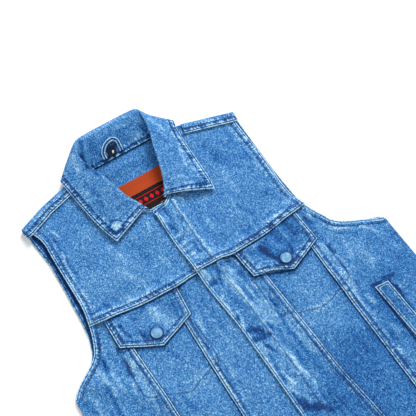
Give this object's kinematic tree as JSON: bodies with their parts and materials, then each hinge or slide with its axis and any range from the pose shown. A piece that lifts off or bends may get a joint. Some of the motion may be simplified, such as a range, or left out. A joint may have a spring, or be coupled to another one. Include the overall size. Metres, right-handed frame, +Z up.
{
  "type": "denim vest",
  "caption": "Sleeveless denim vest laid flat, closed with a covered placket, with a fold-over collar and pointed flap pockets.",
  "frame": {"origin": "on the surface the vest lies on, under the middle of its bounding box", "axes": "+X to the wearer's left, +Y from the hem to the collar, +Z up out of the front"},
  "size_m": [0.548, 0.7464, 0.025],
  "materials": {
    "denim": "stonewashed cotton twill",
    "label_orange": "woven tape",
    "label_black": "woven label",
    "tab_navy": "woven tab",
    "snap_metal": "lacquered, worn cap"
  },
  "bodies": {
    "root": {"back": "denim", "back_shoulder_right": "denim", "back_shoulder_left": "denim", "front_yoke_left": "denim", "front_yoke_right": "denim", "centre_front_left": "denim", "centre_front_right": "denim", "pocket_panel_left": "denim", "pocket_panel_right": "denim", "side_front_left": "denim", "side_front_right": "denim", "fly_facing": "denim", "flap_left": "denim", "flap_right": "denim", "welt_left": "denim", "welt_right": "denim", "collar": "denim", "hanger_loop": "denim", "size_tab": "tab_navy", "label_band": "label_orange", "label_field": "label_black", "flap_snap_left": "snap_metal", "flap_snap_right": "snap_metal"}
  },
  "joints": []
}
